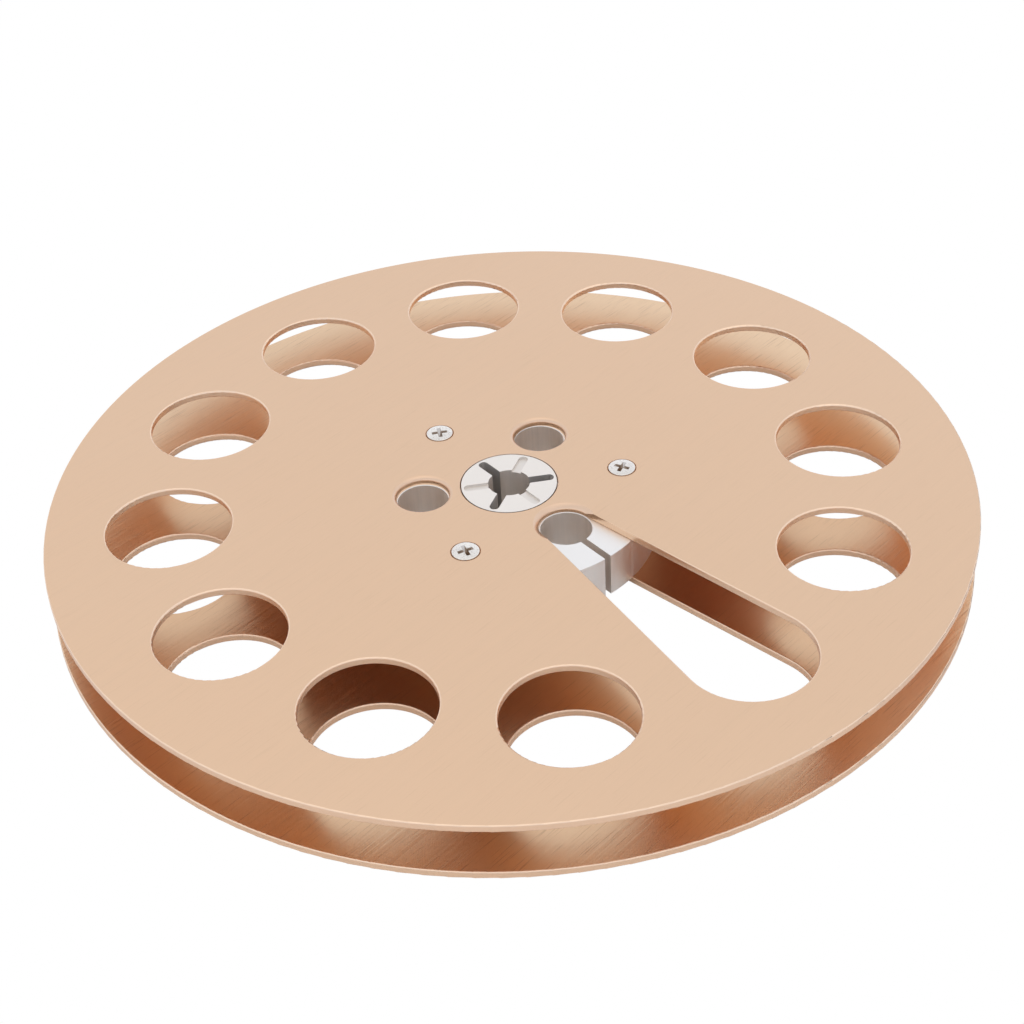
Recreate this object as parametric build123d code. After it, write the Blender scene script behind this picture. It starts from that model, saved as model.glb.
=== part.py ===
from build123d import *
from math import acos, cos, isclose, radians, sin
import os

# A seven inch metal take-up reel for quarter inch recording tape. Two drilled flanges sit on the
# ends of a one-piece hub, and three countersunk screws hold each of them.
# Lengths are in millimetres and angles in degrees. The reel's axis is Z, its lower face is at
# Z = 0, and +X runs along the long slot of the lower flange and the clamping slit of the hub.

# Flanges
FLANGE_R = 88.9
FLANGE_THICKNESS = 1.5
FLANGE_GAP = 9.2
RIM_ROUND = 0.2
HOLE_ROUND = 0.3
EDGE_BREAK = 0.12
BOSS_HOLE_R = 9.5
UPPER_TURN = -0.55

# Lightening holes, with one place of the twelve taken by the long slot
HOLE_PLACES = 12
HOLE_PITCH_R = 65.42
HOLE_R = 12.01

# Finger holes, which go through both flanges and the hub
FINGER_COUNT = 3
FINGER_PITCH_R = 16.85
FLANGE_FINGER_R = 5.1
FLANGE_FINGER_ROUND = 0.95
HUB_FINGER_R = 4.9
HUB_FINGER_BREAK = 0.1

# Hub
HUB_R = 28.575
HUB_EDGE_BREAK = 0.1
BOSS_R = 9.28
BOSS_EDGE_BREAK = 0.05
BOSS_SINK = 0.05
SLIT_WIDTH = 1.4

# Spindle bore, its three drive slots and the three shallow channels on each boss face
BORE_R = 4.05
DRIVE_COUNT = 3
DRIVE_WIDTH = 1.9
DRIVE_REACH = 8.8
CHANNEL_WIDTH = 1.85
CHANNEL_REACH = 8.8
CHANNEL_DEPTH = 0.45

# Flange screws and the holes that take them
SCREW_COUNT = 3
SCREW_PITCH_R = 22.2
SCREW_R = 1.5
SCREW_LENGTH = 5.0
SCREW_TIP_BREAK = 0.3
HEAD_R = 2.62
HEAD_DOME = 0.16
HEAD_ROUND = 0.12
HEAD_FIT = 0.02
UPPER_RIM = 0.12
LOWER_RIM = -0.19
RECESS_REACH = 1.6
RECESS_FLOOR_R = 0.5
RECESS_WIDTH = 0.8
RECESS_TAPER = 12.0
RECESS_DEPTH = 1.6
RECESS_TURNS = (25.0, 62.0, 75.0)
SINK_R = 2.85
SINK_WALL = 0.2
TAPPED_R = 1.55
TAPPED_DEPTH = 4.0
TAPPED_BREAK = 0.25

# Heights and angles that follow
HUB_BOTTOM = FLANGE_THICKNESS
HUB_TOP = HUB_BOTTOM + FLANGE_GAP
REEL_HEIGHT = HUB_TOP + FLANGE_THICKNESS
HALF_STEP = 180.0 / SCREW_COUNT
HOLE_STEP = 360.0 / HOLE_PLACES


def ring_of(shape, count, first=0.0):
    """Copies of a shape evenly spaced round the reel's axis."""
    return [Rot(0, 0, first + 360.0 / count * place) * shape for place in range(count)]


def long_slot():
    """Outline of the flange's slot: a small and a large round end joined by tangent sides."""
    lean = acos((FLANGE_FINGER_R - HOLE_R) / (HOLE_PITCH_R - FINGER_PITCH_R))
    inner_x = FINGER_PITCH_R + FLANGE_FINGER_R * cos(lean)
    inner_y = FLANGE_FINGER_R * sin(lean)
    outer_x = HOLE_PITCH_R + HOLE_R * cos(lean)
    outer_y = HOLE_R * sin(lean)
    sides = [
        Line((inner_x, inner_y), (outer_x, outer_y)),
        ThreePointArc((outer_x, outer_y), (HOLE_PITCH_R + HOLE_R, 0), (outer_x, -outer_y)),
        Line((outer_x, -outer_y), (inner_x, -inner_y)),
        ThreePointArc((inner_x, -inner_y), (FINGER_PITCH_R - FLANGE_FINGER_R, 0), (inner_x, inner_y)),
    ]
    return Face(Wire(sides))


def countersink():
    """Tool for one screw hole, with the flange's outer face at Z = 0."""
    section = Polyline(
        (0, 0),
        (SINK_R, 0),
        (SINK_R, -SINK_WALL),
        (SINK_R + SINK_WALL - FLANGE_THICKNESS, -FLANGE_THICKNESS),
        (0, -FLANGE_THICKNESS),
        close=True,
    )
    return revolve(Plane.XZ * Face(Wire(section.edges())), Axis.Z)


def finger_hole_cutter():
    """Tool for one rounded-over finger hole, with the flange's outer face at Z = 0."""
    lip_r = FLANGE_FINGER_R + FLANGE_FINGER_ROUND
    inset = FLANGE_FINGER_ROUND * (1 - cos(radians(45)))
    lip = ThreePointArc((lip_r, 0), (FLANGE_FINGER_R + inset, -inset), (FLANGE_FINGER_R, -FLANGE_FINGER_ROUND))
    sides = Polyline(
        (FLANGE_FINGER_R, -FLANGE_FINGER_ROUND),
        (FLANGE_FINGER_R, -FLANGE_THICKNESS),
        (0, -FLANGE_THICKNESS),
        (0, 0),
        (lip_r, 0),
    )
    section = Face(Wire([lip, *sides.edges()]))
    return revolve(Plane.XZ * section, Axis.Z)


def edges_of_radius(solid, radius):
    """Round edges of a solid that have the given radius."""
    return solid.edges().filter_by(GeomType.CIRCLE).filter_by(lambda edge: isclose(edge.radius, radius))


def flange():
    """One flange with its outer face up at Z = 0 and its slot along +X."""
    plate = Circle(FLANGE_R)
    plate -= Circle(BOSS_HOLE_R)
    for place in range(1, HOLE_PLACES):
        plate -= Rot(0, 0, HOLE_STEP * place) * Pos(HOLE_PITCH_R, 0) * Circle(HOLE_R)
    plate -= long_slot()
    disc = extrude(plate, -FLANGE_THICKNESS)

    disc = fillet(edges_of_radius(disc, FLANGE_R), RIM_ROUND)
    disc = fillet(edges_of_radius(disc, HOLE_R), HOLE_ROUND)
    disc = chamfer(edges_of_radius(disc, BOSS_HOLE_R), EDGE_BREAK)

    for tool in ring_of(Pos(FINGER_PITCH_R, 0, 0) * finger_hole_cutter(), FINGER_COUNT):
        disc -= tool
    for tool in ring_of(Pos(SCREW_PITCH_R, 0, 0) * countersink(), SCREW_COUNT, HALF_STEP):
        disc -= tool
    return disc


def rounded_bar(reach, width):
    """Outline of a straight cut from the axis out to a round end, along +X."""
    spacing = reach - width / 2
    return Pos(spacing / 2, 0) * SlotCenterToCenter(spacing, width)


def tapped_hole():
    """Tool for one blind screw hole, with the hub's face at Z = 0."""
    section = Polyline(
        (0, 0),
        (TAPPED_R + TAPPED_BREAK, 0),
        (TAPPED_R, -TAPPED_BREAK),
        (TAPPED_R, -TAPPED_DEPTH),
        (0, -TAPPED_DEPTH - TAPPED_R / 2),
        close=True,
    )
    return revolve(Plane.XZ * Face(Wire(section.edges())), Axis.Z)


def hub():
    """The one-piece hub: a thick drum with a boss on each face, bored for the spindle."""
    drum = Pos(0, 0, HUB_BOTTOM) * extrude(Circle(HUB_R), FLANGE_GAP)
    drum = chamfer(drum.edges(), HUB_EDGE_BREAK)
    boss = Pos(0, 0, BOSS_SINK) * extrude(Circle(BOSS_R), REEL_HEIGHT - 2 * BOSS_SINK)
    boss = chamfer(boss.edges(), BOSS_EDGE_BREAK)
    body = drum + boss

    finger_hole = Pos(0, 0, HUB_BOTTOM) * extrude(Circle(HUB_FINGER_R), FLANGE_GAP)
    break_r = HUB_FINGER_R + HUB_FINGER_BREAK
    break_cone = Cone(HUB_FINGER_R, break_r, HUB_FINGER_BREAK, align=(Align.CENTER, Align.CENTER, Align.MAX))
    finger_hole += Pos(0, 0, HUB_TOP) * break_cone
    finger_hole += Pos(0, 0, HUB_BOTTOM) * Rot(180, 0, 0) * break_cone
    for tool in ring_of(Pos(FINGER_PITCH_R, 0, 0) * finger_hole, FINGER_COUNT):
        body -= tool

    slit_length = HUB_R - FINGER_PITCH_R
    slit = Box(2 * slit_length, SLIT_WIDTH, 2 * REEL_HEIGHT)
    body -= Pos(FINGER_PITCH_R + slit_length, 0, 0) * slit

    body -= extrude(Circle(BORE_R), REEL_HEIGHT)
    drive_slot = extrude(rounded_bar(DRIVE_REACH, DRIVE_WIDTH), REEL_HEIGHT)
    for tool in ring_of(drive_slot, DRIVE_COUNT, HALF_STEP):
        body -= tool
    channel = extrude(rounded_bar(CHANNEL_REACH, CHANNEL_WIDTH), BOSS_SINK + CHANNEL_DEPTH)
    for tool in ring_of(channel, DRIVE_COUNT):
        body -= tool
        body -= Pos(0, 0, REEL_HEIGHT - BOSS_SINK - CHANNEL_DEPTH) * tool

    upper_hole = Pos(SCREW_PITCH_R, 0, HUB_TOP) * tapped_hole()
    for tool in ring_of(upper_hole, SCREW_COUNT, HALF_STEP + UPPER_TURN):
        body -= tool
    lower_hole = Pos(SCREW_PITCH_R, 0, HUB_BOTTOM) * Rot(180, 0, 0) * tapped_hole()
    for tool in ring_of(lower_hole, SCREW_COUNT, HALF_STEP):
        body -= tool
    return body


def screw(rim, recess_turn):
    """Cross-recess countersunk screw. The flange's outer face is at Z = 0 and the head's rim at Z = rim."""
    crown = rim + HEAD_DOME
    land_bottom = HEAD_R - SINK_R - SINK_WALL + HEAD_FIT
    cone_bottom = land_bottom - (HEAD_R - SCREW_R)
    dome = TangentArc((0, crown), (HEAD_R, rim), tangent=(1, 0))
    sides = Polyline(
        (HEAD_R, rim),
        (HEAD_R, land_bottom),
        (SCREW_R, cone_bottom),
        (SCREW_R, -SCREW_LENGTH + SCREW_TIP_BREAK),
        (SCREW_R - SCREW_TIP_BREAK, -SCREW_LENGTH),
        (0, -SCREW_LENGTH),
        (0, crown),
    )
    section = Face(Wire([dome, *sides.edges()]))
    body = revolve(Plane.XZ * section, Axis.Z)
    rings = body.edges().filter_by(GeomType.CIRCLE)
    rim_edge = rings.filter_by_position(Axis.Z, rim - HEAD_FIT, rim + HEAD_FIT)
    body = fillet(rim_edge, HEAD_ROUND)
    arm = extrude(Rectangle(2 * RECESS_REACH, RECESS_WIDTH), -RECESS_DEPTH, taper=RECESS_TAPER)
    cross = arm + Rot(0, 0, 90) * arm
    cross &= Cone(RECESS_FLOOR_R, RECESS_REACH, RECESS_DEPTH, align=(Align.CENTER, Align.CENTER, Align.MAX))
    return body - Pos(0, 0, crown) * Rot(0, 0, recess_turn) * cross


os.makedirs("parts", exist_ok=True)
plate_body = flange()
upside_down = Rot(180, 0, 0)
export_step(hub(), "parts/hub.step")
export_step(Pos(0, 0, REEL_HEIGHT) * Rot(0, 0, UPPER_TURN) * plate_body, "parts/upper_flange.step")
export_step(mirror(plate_body, Plane.XY), "parts/lower_flange.step")
for number, turn in enumerate(RECESS_TURNS):
    angle = HALF_STEP + 360.0 / SCREW_COUNT * number
    upper_seat = Rot(0, 0, angle + UPPER_TURN) * Pos(SCREW_PITCH_R, 0, REEL_HEIGHT)
    lower_seat = Rot(0, 0, angle) * Pos(SCREW_PITCH_R, 0, 0) * upside_down
    upper_screw = upper_seat * screw(UPPER_RIM, turn - angle)
    lower_screw = lower_seat * screw(LOWER_RIM, turn + angle)
    export_step(upper_screw, f"parts/upper_screw_{number + 1}.step")
    export_step(lower_screw, f"parts/lower_screw_{number + 1}.step")
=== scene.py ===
"""Looks for the seven inch tape reel: brushed champagne flanges, a machined hub and bright screws."""
import math

import bpy
from mathutils import Matrix, Vector


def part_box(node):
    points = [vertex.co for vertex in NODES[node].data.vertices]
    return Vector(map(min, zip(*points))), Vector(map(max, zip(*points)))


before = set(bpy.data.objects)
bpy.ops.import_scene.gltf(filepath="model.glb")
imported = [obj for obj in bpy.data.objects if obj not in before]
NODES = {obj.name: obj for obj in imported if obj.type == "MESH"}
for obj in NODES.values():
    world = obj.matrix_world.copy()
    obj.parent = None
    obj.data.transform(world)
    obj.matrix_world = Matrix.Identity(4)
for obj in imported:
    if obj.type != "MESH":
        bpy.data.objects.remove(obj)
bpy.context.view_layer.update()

# Camera, in metres and degrees. It looks down at a point a little in front of the reel's centre.
LENS_MM = 65.252
SENSOR_MM = 36.0
NEAR_CLIP = 0.01
CAMERA_AZIMUTH = 52.585
CAMERA_ELEVATION = 37.702
CAMERA_ROLL = -3.344
CAMERA_DISTANCE = 0.35092
AIM_RIGHT = 0.000250
AIM_AWAY = -0.009380

# Overhead softbox, in degrees, metres and watts. Its azimuth is counted from the camera's.
LIGHT_AZIMUTH = 85.0
LIGHT_ELEVATION = 85.0
LIGHT_DISTANCE = 1.6
LIGHT_WIDTH = 2.4
LIGHT_LENGTH = 2.8
LIGHT_POWER = 3.0

# The floor's two sheets: half their width and their heights, in metres, and the lower one's light
FLOOR_HALF_WIDTH = 4.0
SEEN_FLOOR_HEIGHT = -0.0004
SEEN_FLOOR_GLOW = 1.0
REFLECTED_FLOOR_HEIGHT = -0.0002
REFLECTED_FLOOR_WHITE = 0.88

# Half the reel's width over its flanges, in metres
MID_HEIGHT = 0.0061

# Distances from the reel's axis, in metres, over which one colour gives way to the next; some of these
# colours are painted shade or painted light, as marked
BORE_TO_DRIVE_SLOTS = (0.0041, 0.0043)
BOSS_TO_DRUM = (0.0092, 0.0100)
BORES_TO_DRUM_WALL = (0.0280, 0.0284)
FINGER_TO_LIGHTENING_HOLES = (0.0300, 0.0400)
# The next two spread painted shade near the hub and painted light near the rim on the lower flange's
# inner face.
NEAR_HUB_TO_FACE = (0.0400, 0.0580)
FACE_TO_NEAR_RIM = (0.0760, 0.0860)
HOLE_WALLS_TO_RIM_WALL = (0.0882, 0.0884)

# Height over which the painted shade and painted light on the lower flange's inner face fade in from its
# outer face, in metres
OUTER_TO_INNER_FACE = (0.0010, 0.0014)

# Distances from the reel's middle, in metres, over which the painted shade in its sunk parts, the boss's
# channels and the screws' recesses, gives way to its outermost faces
CHANNEL_TO_BOSS_FACE = (MID_HEIGHT - 0.0003, MID_HEIGHT - 0.0001)
RECESS_TO_SCREW_HEAD = (MID_HEIGHT - 0.0008, MID_HEIGHT - 0.0003)

# Direction of the brushing on the flanges, from +X towards +Y
BRUSH_ANGLE = 98.0

# Anodised metal. Pairs are a darker and a lighter tone.
ANODISED_FACE = ((0.8569, 0.5634, 0.3546, 1.0), (0.8830, 0.5806, 0.3654, 1.0))
# Painted shade: a deeper copy of the anodised colour for the lower flange, whose faces sit in the
# groove's shade.
GROOVE_SHADE_FACE = (0.8500, 0.5300, 0.2900, 1.0)
# Painted shade near the hub on the lower flange's inner face, deep in the groove.
NEAR_HUB_PAINTED_SHADE = (0.6000, 0.3300, 0.1900, 1.0)
# Painted light near the rim on the lower flange's inner face, where light enters the groove.
NEAR_RIM_PAINTED_LIGHT = (0.9850, 0.7050, 0.4450, 1.0)
HAIRLINE = (0.6400, 0.4000, 0.2400, 1.0)
# Painted light: lighter copies of the anodised colour on the hole walls, the rim walls and the lightening
# holes' rounded edges, for the light they catch. The finger holes' rounded edges stay close to the face
# colour.
HOLE_WALL_PAINTED_LIGHT = (0.9900, 0.7000, 0.4750, 1.0)
UPPER_RIM_WALL_PAINTED_LIGHT = (0.9400, 0.6300, 0.4150, 1.0)
FINGER_HOLE_EDGE = (0.8400, 0.5700, 0.3850, 1.0)
LIGHTENING_HOLE_EDGE_HIGHLIGHT = (0.9900, 0.7100, 0.5000, 1.0)

# Bare turned metal
BOSS_FACE = ((0.900, 0.805, 0.700, 1.0), (0.940, 0.840, 0.732, 1.0))
DRUM_FACE = ((0.930, 0.865, 0.790, 1.0), (0.960, 0.895, 0.820, 1.0))
BORE_WALL = ((0.850, 0.780, 0.712, 1.0), (0.980, 0.898, 0.820, 1.0))
DRUM_WALL = ((0.940, 0.885, 0.815, 1.0), (0.990, 0.935, 0.860, 1.0))
# Painted shade: the boss's colour darkened in its sunk channels.
BOSS_CHANNEL_SHADE = (0.850, 0.755, 0.655, 1.0)
# Painted shade on the upright walls of the drive slots.
DRIVE_SLOT_SHADE = (0.78, 0.74, 0.70, 1.0)

# Nickel plate
NICKEL = ((0.90, 0.80, 0.69, 1.0), (0.97, 0.87, 0.75, 1.0))
WORN_NICKEL = (0.560, 0.480, 0.410, 1.0)
# Painted shade in the screws' cross recesses and on their upright faces.
SCREW_RECESS_SHADE = (0.62, 0.54, 0.47, 1.0)


def make_camera():
    """Makes the camera: turned about Z, raised, then rolled about its own line of sight."""
    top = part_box("upper_flange")[1][2]
    turn = Matrix.Rotation(math.radians(CAMERA_AZIMUTH), 4, "Z")
    elevation = math.radians(CAMERA_ELEVATION)
    roll = math.radians(CAMERA_ROLL)
    back = Vector((0.0, -math.cos(elevation), math.sin(elevation)))
    side = Vector((1.0, 0.0, 0.0))
    up = back.cross(side)
    right = side * math.cos(roll) + up * math.sin(roll)
    head = up * math.cos(roll) - side * math.sin(roll)
    place = Vector((AIM_RIGHT, AIM_AWAY, top)) + back * CAMERA_DISTANCE
    pose = Matrix.Identity(4)
    for row in range(3):
        pose[row][0] = right[row]
        pose[row][1] = head[row]
        pose[row][2] = back[row]
        pose[row][3] = place[row]
    data = bpy.data.cameras.new("camera")
    data.sensor_width = SENSOR_MM
    data.lens = LENS_MM
    data.clip_start = NEAR_CLIP
    camera = bpy.data.objects.new("camera", data)
    bpy.context.scene.collection.objects.link(camera)
    camera.matrix_world = turn @ pose
    bpy.context.scene.camera = camera


class Shader:
    """A small helper that adds and links the nodes of one metal."""

    def __init__(self, name):
        self.material = bpy.data.materials.new(name)
        self.material.use_nodes = True
        self.tree = self.material.node_tree
        self.bsdf = self.tree.nodes["Principled BSDF"]
        self.bsdf.inputs["Metallic"].default_value = 1.0

    def node(self, kind, **settings):
        made = self.tree.nodes.new(kind)
        for key, value in settings.items():
            setattr(made, key, value)
        return made

    def link(self, source, target):
        self.tree.links.new(source, target)

    def feed(self, socket, value):
        """Sets a socket to a number or a colour, or links it to another socket."""
        if isinstance(value, (tuple, float, int)):
            socket.default_value = value
        else:
            self.link(value, socket)

    def place(self):
        """Object coordinates, which run along the reel's own axes in metres."""
        return self.node("ShaderNodeTexCoord").outputs["Object"]

    def split(self, vector):
        made = self.node("ShaderNodeSeparateXYZ")
        self.link(vector, made.inputs[0])
        return made.outputs

    def math(self, operation, first, second=None):
        made = self.node("ShaderNodeMath", operation=operation)
        self.feed(made.inputs[0], first)
        if second is not None:
            self.feed(made.inputs[1], second)
        return made.outputs[0]

    def noise(self, vector, scale, detail, roughness):
        made = self.node("ShaderNodeTexNoise")
        self.link(vector, made.inputs["Vector"])
        made.inputs["Scale"].default_value = scale
        made.inputs["Detail"].default_value = detail
        made.inputs["Roughness"].default_value = roughness
        return made.outputs["Fac"]

    def spread(self, value, start, end, at_start, at_end):
        """A value that runs from at_start to at_end as the given one runs from start to end."""
        made = self.node("ShaderNodeMapRange")
        self.link(value, made.inputs["Value"])
        made.inputs["From Min"].default_value = start
        made.inputs["From Max"].default_value = end
        made.inputs["To Min"].default_value = at_start
        made.inputs["To Max"].default_value = at_end
        return made.outputs["Result"]

    def mix(self, factor, first, second):
        made = self.node("ShaderNodeMix", data_type="RGBA")
        self.feed(made.inputs[0], factor)
        self.feed(made.inputs[6], first)
        self.feed(made.inputs[7], second)
        return made.outputs[2]

    def colour(self, value):
        self.link(value, self.bsdf.inputs["Base Color"])

    def roughness(self, value):
        self.link(value, self.bsdf.inputs["Roughness"])

    def bump(self, height, distance, strength):
        made = self.node("ShaderNodeBump")
        made.inputs["Strength"].default_value = strength
        made.inputs["Distance"].default_value = distance
        self.link(height, made.inputs["Height"])
        self.link(made.outputs["Normal"], self.bsdf.inputs["Normal"])


def brushed_noise(shader, along, across, detail, roughness):
    """Noise drawn out into streaks that run with the brushing. Both lengths are in metres."""
    mapping = shader.node("ShaderNodeMapping", vector_type="TEXTURE")
    mapping.inputs["Rotation"].default_value = (0.0, 0.0, math.radians(BRUSH_ANGLE))
    mapping.inputs["Scale"].default_value = (along, across, across)
    shader.link(shader.place(), mapping.inputs["Vector"])
    return shader.noise(mapping.outputs["Vector"], 1.0, detail, roughness)


def distance_from_axis(shader):
    """Distance from the reel's axis, in metres."""
    split = shader.split(shader.place())
    square_x = shader.math("POWER", split["X"], 2.0)
    square_y = shader.math("POWER", split["Y"], 2.0)
    return shader.math("SQRT", shader.math("ADD", square_x, square_y))


def distance_from_middle(shader):
    """Distance above or below the reel's middle plane, in metres."""
    height = shader.split(shader.place())["Z"]
    return shader.math("ABSOLUTE", shader.math("SUBTRACT", height, MID_HEIGHT))


def flatness(shader):
    """1 where the surface itself is level, 0 where it is upright."""
    normal = shader.node("ShaderNodeNewGeometry").outputs["True Normal"]
    return shader.math("ABSOLUTE", shader.split(normal)["Z"])


def brush_tangent(shader):
    """Draws the reflections out across the brushing."""
    across = math.radians(BRUSH_ANGLE + 90.0)
    direction = shader.node("ShaderNodeCombineXYZ")
    direction.inputs[0].default_value = math.cos(across)
    direction.inputs[1].default_value = math.sin(across)
    shader.link(direction.outputs[0], shader.bsdf.inputs["Tangent"])


def anodised(name, groove_shading, lit_rim_wall, relief, hair_depth, score_depth):
    """Champagne anodised aluminium with straight brushing. Its walls and rounded edges get lighter,
    warmer colours as painted light; the second argument darkens the faces as painted shade and adds
    painted shade near the hub and painted light near the rim on the lower flange's inner face.
    """
    shader = Shader(name)
    fine = brushed_noise(shader, 0.020, 0.00022, 3.0, 0.6)
    broad = brushed_noise(shader, 0.060, 0.0018, 3.0, 0.55)
    hairs = brushed_noise(shader, 0.0075, 0.00021, 1.5, 0.5)
    scores = brushed_noise(shader, 0.030, 0.0006, 2.0, 0.5)
    cloud = shader.noise(shader.place(), 22.0, 3.0, 0.5)
    streak = shader.math("ADD", shader.math("MULTIPLY", fine, 0.6), shader.math("MULTIPLY", broad, 0.4))
    hairline = shader.math("MULTIPLY", shader.spread(hairs, 0.60, 0.70, 0.0, 1.0), hair_depth)
    radius = distance_from_axis(shader)
    height = shader.split(shader.place())["Z"]

    face = shader.mix(shader.spread(streak, 0.3, 0.7, 0.0, 1.0), *ANODISED_FACE)
    # Painted shade: the faces are darkened towards a deeper colour by the amount given as the second
    # argument.
    face = shader.mix(groove_shading, face, GROOVE_SHADE_FACE)
    inner_side = shader.spread(height, *OUTER_TO_INNER_FACE, 0.0, groove_shading)
    # Painted shade near the hub and painted light near the rim, on the lower flange's inner face only.
    hub_shade_mask = shader.spread(radius, *NEAR_HUB_TO_FACE, 1.0, 0.0)
    rim_light_mask = shader.spread(radius, *FACE_TO_NEAR_RIM, 0.0, 1.0)
    face = shader.mix(shader.math("MULTIPLY", hub_shade_mask, inner_side), face, NEAR_HUB_PAINTED_SHADE)
    face = shader.mix(shader.math("MULTIPLY", rim_light_mask, inner_side), face, NEAR_RIM_PAINTED_LIGHT)
    face = shader.mix(hairline, face, HAIRLINE)

    # Painted light on the upright walls and the rounded edges.
    level = flatness(shader)
    past_finger_holes = shader.spread(radius, *FINGER_TO_LIGHTENING_HOLES, 0.0, 1.0)
    edge_highlight = shader.mix(past_finger_holes, FINGER_HOLE_EDGE, LIGHTENING_HOLE_EDGE_HIGHLIGHT)
    on_rim = shader.spread(radius, *HOLE_WALLS_TO_RIM_WALL, 0.0, 1.0)
    side = shader.mix(on_rim, HOLE_WALL_PAINTED_LIGHT, lit_rim_wall)
    lit_walls = shader.mix(shader.spread(level, 0.05, 0.25, 1.0, 0.0), edge_highlight, side)
    shader.colour(shader.mix(shader.spread(level, 0.93, 0.99, 0.0, 1.0), lit_walls, face))

    rough = shader.spread(streak, 0.25, 0.75, 0.300, 0.380)
    shader.roughness(shader.math("ADD", rough, shader.spread(cloud, 0.3, 0.7, -0.015, 0.015)))
    shader.bsdf.inputs["Anisotropic"].default_value = 0.75
    brush_tangent(shader)
    surface = shader.math("SUBTRACT", fine, hairline)
    surface = shader.math("ADD", surface, shader.math("MULTIPLY", scores, score_depth))
    shader.bump(surface, relief, 0.6)
    return shader.material


def turned_grain(shader, radius, flat):
    """Rings about the axis where flat is 1, and upright lines where it is 0."""
    ring_place = shader.node("ShaderNodeCombineXYZ")
    shader.link(radius, ring_place.inputs[0])
    rings = shader.noise(ring_place.outputs[0], 4200.0, 2.0, 0.6)
    stretch = shader.node("ShaderNodeMapping")
    stretch.inputs["Scale"].default_value = (1.0, 1.0, 0.04)
    shader.link(shader.place(), stretch.inputs["Vector"])
    upright_lines = shader.noise(stretch.outputs["Vector"], 1500.0, 3.0, 0.6)
    choice = shader.node("ShaderNodeMix", data_type="FLOAT")
    shader.link(flat, choice.inputs[0])
    shader.link(upright_lines, choice.inputs[2])
    shader.link(rings, choice.inputs[3])
    return choice.outputs[0]


def machined():
    """Bare turned aluminium: fine rings on the faces and fine upright lines in the bores, with painted
    shade in the drive slots and the boss's channels.
    """
    shader = Shader("turned_aluminium")
    radius = distance_from_axis(shader)
    flat = shader.spread(flatness(shader), 0.4, 0.9, 0.0, 1.0)
    grain = turned_grain(shader, radius, flat)
    cloud = shader.noise(shader.place(), 180.0, 3.0, 0.5)
    blend = shader.math("ADD", shader.math("MULTIPLY", grain, 0.6), shader.math("MULTIPLY", cloud, 0.4))
    tone = shader.spread(blend, 0.3, 0.7, 0.0, 1.0)

    on_drum_wall = shader.spread(radius, *BORES_TO_DRUM_WALL, 0.0, 1.0)
    walls = shader.mix(on_drum_wall, shader.mix(tone, *BORE_WALL), shader.mix(tone, *DRUM_WALL))
    # Painted shade in the boss's sunk channels.
    outermost = shader.spread(distance_from_middle(shader), *CHANNEL_TO_BOSS_FACE, 0.0, 1.0)
    boss = shader.mix(outermost, BOSS_CHANNEL_SHADE, shader.mix(tone, *BOSS_FACE))
    off_boss = shader.spread(radius, *BOSS_TO_DRUM, 0.0, 1.0)
    faces = shader.mix(off_boss, boss, shader.mix(tone, *DRUM_FACE))
    colour = shader.mix(flat, walls, faces)
    # Painted shade on the upright walls of the drive slots beside the bore.
    off_bore = shader.spread(radius, *BORE_TO_DRIVE_SLOTS, 0.0, 1.0)
    in_drive_slot = shader.math("MULTIPLY", shader.math("SUBTRACT", 1.0, off_boss), off_bore)
    slot_shade = shader.math("MULTIPLY", in_drive_slot, shader.math("SUBTRACT", 1.0, flat))
    shader.colour(shader.mix(slot_shade, colour, DRIVE_SLOT_SHADE))

    shader.roughness(shader.spread(grain, 0.25, 0.75, 0.40, 0.56))
    shader.bump(grain, 0.000012, 0.6)
    return shader.material


def nickel():
    """Bright nickel plate on the screws, with slight tumbling marks, and painted shade in the recesses
    and on the upright faces.
    """
    shader = Shader("nickel_plate")
    marks = shader.noise(shader.place(), 2600.0, 3.0, 0.6)
    cloud = shader.noise(shader.place(), 420.0, 2.0, 0.5)
    colour = shader.mix(shader.spread(cloud, 0.35, 0.65, 0.0, 1.0), *NICKEL)
    colour = shader.mix(shader.spread(marks, 0.54, 0.66, 0.0, 0.6), colour, WORN_NICKEL)
    # Painted shade on the upright faces and in the recesses.
    upright = shader.spread(flatness(shader), 0.55, 0.80, 1.0, 0.0)
    recess_shade = shader.spread(distance_from_middle(shader), *RECESS_TO_SCREW_HEAD, 1.0, 0.0)
    shader.colour(shader.mix(shader.math("MAXIMUM", upright, recess_shade), colour, SCREW_RECESS_SHADE))
    shader.roughness(shader.spread(marks, 0.3, 0.7, 0.12, 0.24))
    shader.bump(marks, 0.000040, 0.8)
    return shader.material


def dress(node, material):
    """Gives a CAD node its finished material."""
    slots = NODES[node].data.materials
    if len(slots) == 0:
        slots.append(material)
    for index in range(len(slots)):
        slots[index] = material


def floor_sheet(name, height, white, glow):
    """One large square sheet of the stage, lying flat."""
    data = bpy.data.meshes.new(name)
    half = FLOOR_HALF_WIDTH
    corners = [(-half, -half, 0), (half, -half, 0), (half, half, 0), (-half, half, 0)]
    data.from_pydata(corners, [], [(0, 1, 2, 3)])
    sheet = bpy.data.objects.new(name, data)
    sheet.location.z = height
    bpy.context.scene.collection.objects.link(sheet)
    material = bpy.data.materials.new(name)
    material.use_nodes = True
    bsdf = material.node_tree.nodes["Principled BSDF"]
    bsdf.inputs["Base Color"].default_value = (white, white, white, 1.0)
    bsdf.inputs["Roughness"].default_value = 0.9
    bsdf.inputs["Specular IOR Level"].default_value = 0.0
    bsdf.inputs["Emission Color"].default_value = (1.0, 1.0, 1.0, 1.0)
    bsdf.inputs["Emission Strength"].default_value = glow
    data.materials.append(material)
    return sheet


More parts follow.
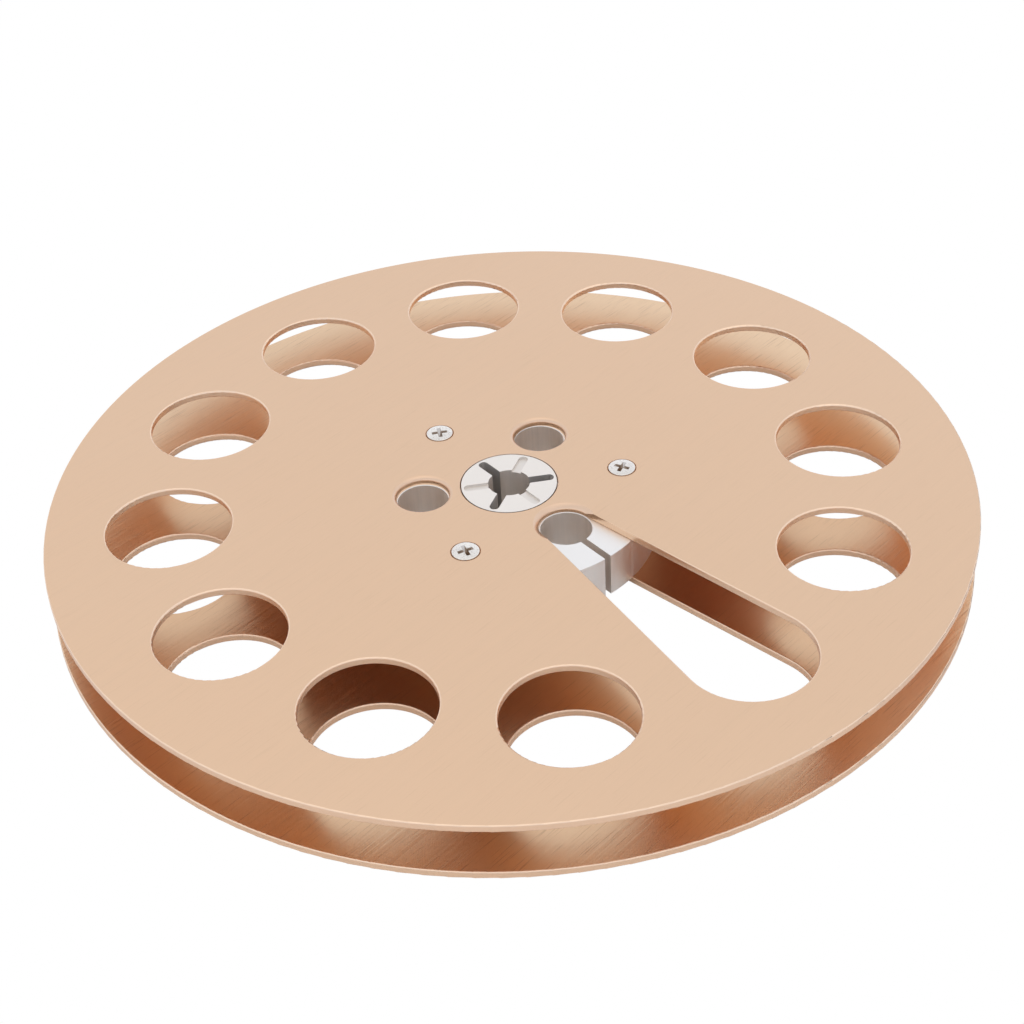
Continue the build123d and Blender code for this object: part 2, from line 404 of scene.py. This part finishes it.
def make_floor():
    """White floor. One sheet is what is seen; the other takes the reel's shade and shows in its metal."""
    seen = floor_sheet("floor_seen", SEEN_FLOOR_HEIGHT, 0.0, SEEN_FLOOR_GLOW)
    seen.visible_diffuse = False
    seen.visible_glossy = False
    seen.visible_transmission = False
    seen.visible_shadow = False
    reflected = floor_sheet("floor_reflected", REFLECTED_FLOOR_HEIGHT, REFLECTED_FLOOR_WHITE, 0.0)
    reflected.visible_camera = False


def make_overhead_light():
    """One large weak softbox, almost straight above the reel and aimed at it."""
    data = bpy.data.lights.new("overhead", "AREA")
    data.shape = "RECTANGLE"
    data.size = LIGHT_WIDTH
    data.size_y = LIGHT_LENGTH
    data.energy = LIGHT_POWER
    lamp = bpy.data.objects.new("overhead", data)
    around = math.radians(LIGHT_AZIMUTH + CAMERA_AZIMUTH)
    rise = math.radians(LIGHT_ELEVATION)
    away_x = math.sin(around) * math.cos(rise)
    away_y = -math.cos(around) * math.cos(rise)
    lamp.location = Vector((away_x, away_y, math.sin(rise))) * LIGHT_DISTANCE
    lamp.rotation_euler = lamp.location.to_track_quat("Z", "Y").to_euler()
    bpy.context.scene.collection.objects.link(lamp)


def make_world():
    """Soft white surround: cool up to the horizon, dimmer above it and bright again overhead."""
    world = bpy.data.worlds.new("studio")
    bpy.context.scene.world = world
    world.use_nodes = True
    tree = world.node_tree
    background = tree.nodes["Background"]
    background.inputs["Strength"].default_value = 1.005
    direction = tree.nodes.new("ShaderNodeTexCoord")
    split = tree.nodes.new("ShaderNodeSeparateXYZ")
    ramp = tree.nodes.new("ShaderNodeValToRGB")
    tree.links.new(direction.outputs["Generated"], split.inputs[0])
    tree.links.new(split.outputs["Z"], ramp.inputs["Fac"])
    tree.links.new(ramp.outputs["Color"], background.inputs["Color"])
    ramp.color_ramp.elements[0].position = 0.45
    ramp.color_ramp.elements[0].color = (0.9150, 1.0050, 1.1600, 1.0)
    ramp.color_ramp.elements[1].position = 0.80
    ramp.color_ramp.elements[1].color = (0.7500, 0.8150, 0.9200, 1.0)
    overhead = ramp.color_ramp.elements.new(1.0)
    overhead.color = (1.0000, 1.0200, 1.0600, 1.0)


make_camera()
make_world()
make_overhead_light()
make_floor()

# The second argument sets the painted shade on a flange's faces: none on the upper flange, half on the
# lower one.
dress("upper_flange", anodised("champagne_upper", 0.0, UPPER_RIM_WALL_PAINTED_LIGHT, 0.0000035, 0.13, 0.3))
dress("lower_flange", anodised("champagne_lower", 0.5, HOLE_WALL_PAINTED_LIGHT, 0.0000140, 0.65, 6.0))
dress("hub", machined())
screw_metal = nickel()
for side in ("upper", "lower"):
    for number in (1, 2, 3):
        dress(f"{side}_screw_{number}", screw_metal)

scene = bpy.context.scene
scene.view_settings.view_transform = "Standard"
scene.cycles.max_bounces = 16
scene.cycles.glossy_bounces = 6
